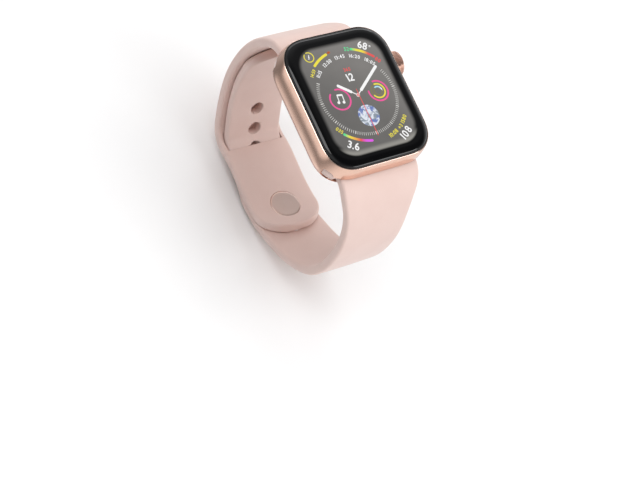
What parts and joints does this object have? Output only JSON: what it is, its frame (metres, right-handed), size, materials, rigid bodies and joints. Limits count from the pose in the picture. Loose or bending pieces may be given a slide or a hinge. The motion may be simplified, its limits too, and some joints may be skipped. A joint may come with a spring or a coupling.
{
  "type": "smartwatch",
  "caption": "rectangular smartwatch with a rose gold case, digital dial, crown and side button, and a pale pink pin-and-tuck band closed into a loop",
  "frame": {"origin": "middle of the domed back, the lowest point of the case, which touches the wrist or the charger", "axes": "+Z out of the display, +Y to twelve o'clock, +X to the crown"},
  "size_m": [0.0369, 0.066, 0.065],
  "materials": {
    "case_metal": "satin anodised rose gold",
    "crown_metal": "turned rose gold",
    "cover_glass": "polished black glass",
    "display": "lit display behind the glass",
    "band_rubber": "soft matte pale pink elastomer",
    "pin_metal": "satin rose gold",
    "back_ceramic": "polished",
    "sensor_glass": "polished dark crystal",
    "seal_rubber": "matte black seal",
    "shield_steel": "brushed steel",
    "board": "solder-masked board with moulded chips",
    "flex_circuit": "amber flexible circuit",
    "cell_wrap": "matte wrapped cell",
    "module_plastic": "moulded black plastic",
    "mass_metal": "dense sintered metal",
    "spring_steel": "bright spring steel",
    "coil_copper": "enamelled copper winding",
    "magnet": "plated magnet",
    "bush_brass": "turned brass"
  },
  "bodies": {
    "case": {"case_shell": "case_metal", "front_crystal": "cover_glass", "crystal_gasket": "seal_rubber", "display_panel": "display", "display_shield": "shield_steel", "display_flex": "flex_circuit", "inner_frame": "shield_steel", "logic_board": "board", "battery": "cell_wrap", "haptic_housing": "shield_steel", "speaker_module": "module_plastic", "microphone": "shield_steel", "module_screws": "spring_steel", "back_cover": "back_ceramic", "back_gasket": "seal_rubber", "sensor_crystal": "sensor_glass", "sensor_board": "board", "charging_coil": "coil_copper", "alignment_magnet": "magnet", "crown_bush": "bush_brass", "crown_seal": "seal_rubber", "crown_sensor": "module_plastic", "crown_switch": "module_plastic", "side_button_switch": "module_plastic"},
    "crown_slider": {"crown_thrust_pad": "module_plastic"},
    "crown": {"crown_knob": "crown_metal", "crown_shaft": "spring_steel"},
    "side_button": {"side_button": "case_metal", "side_button_clip": "spring_steel"},
    "release_upper": {"release_button_upper": "case_metal"},
    "release_lower": {"release_button_lower": "case_metal"},
    "band": {"upper_strap": "band_rubber", "lower_strap": "band_rubber", "closure_pin": "pin_metal", "pin_disc": "pin_metal", "lug_insert_upper": "module_plastic", "lug_insert_lower": "module_plastic", "latch_spring_upper": "spring_steel", "latch_spring_lower": "spring_steel"},
    "latch_upper": {"latch_nub_upper": "spring_steel"},
    "latch_lower": {"latch_nub_lower": "spring_steel"},
    "haptic": {"haptic_mass": "mass_metal", "haptic_spring_top": "spring_steel", "haptic_spring_bottom": "spring_steel"}
  },
  "joints": [
    {"name": "crown_press", "type": "slide", "parent": "case", "child": "crown_slider", "axis": [-1, 0, 0], "range_m": [0, 0.00035], "stiffness_N_per_m": 2000, "springref_m": -0.0002},
    {"name": "crown_turn", "type": "hinge", "parent": "crown_slider", "child": "crown", "pos_m": [0.018, 0.00795, 0.0053], "axis": [1, 0, 0], "continuous": true},
    {"name": "side_button_press", "type": "slide", "parent": "case", "child": "side_button", "axis": [-1, 0, 0], "range_m": [0, 0.0003], "stiffness_N_per_m": 2000, "springref_m": -0.0002},
    {"name": "release_upper_press", "type": "slide", "parent": "case", "child": "release_upper", "axis": [0, 0, 1], "range_m": [0, 0.00045], "stiffness_N_per_m": 1500, "springref_m": -0.0002},
    {"name": "release_lower_press", "type": "slide", "parent": "case", "child": "release_lower", "axis": [0, 0, 1], "range_m": [0, 0.00045], "stiffness_N_per_m": 1500, "springref_m": -0.0002},
    {"name": "band_slide", "type": "slide", "parent": "case", "child": "band", "axis": [1, 0, 0], "range_m": [-0.03, 0.03]},
    {"name": "latch_upper_lift", "type": "slide", "parent": "band", "child": "latch_upper", "axis": [0, 0, 1], "range_m": [0, 0.00045], "deforming": ["latch_spring_upper"]},
    {"name": "latch_lower_lift", "type": "slide", "parent": "band", "child": "latch_lower", "axis": [0, 0, 1], "range_m": [0, 0.00045], "deforming": ["latch_spring_lower"]},
    {"name": "haptic_shift", "type": "slide", "parent": "case", "child": "haptic", "axis": [0, 1, 0], "range_m": [-0.0004, 0.0004], "stiffness_N_per_m": 1200}
  ],
  "couplings": [
    {"joint": "latch_upper_lift", "follows": "release_upper_press", "ratio": 1},
    {"joint": "latch_lower_lift", "follows": "release_lower_press", "ratio": 1}
  ]
}
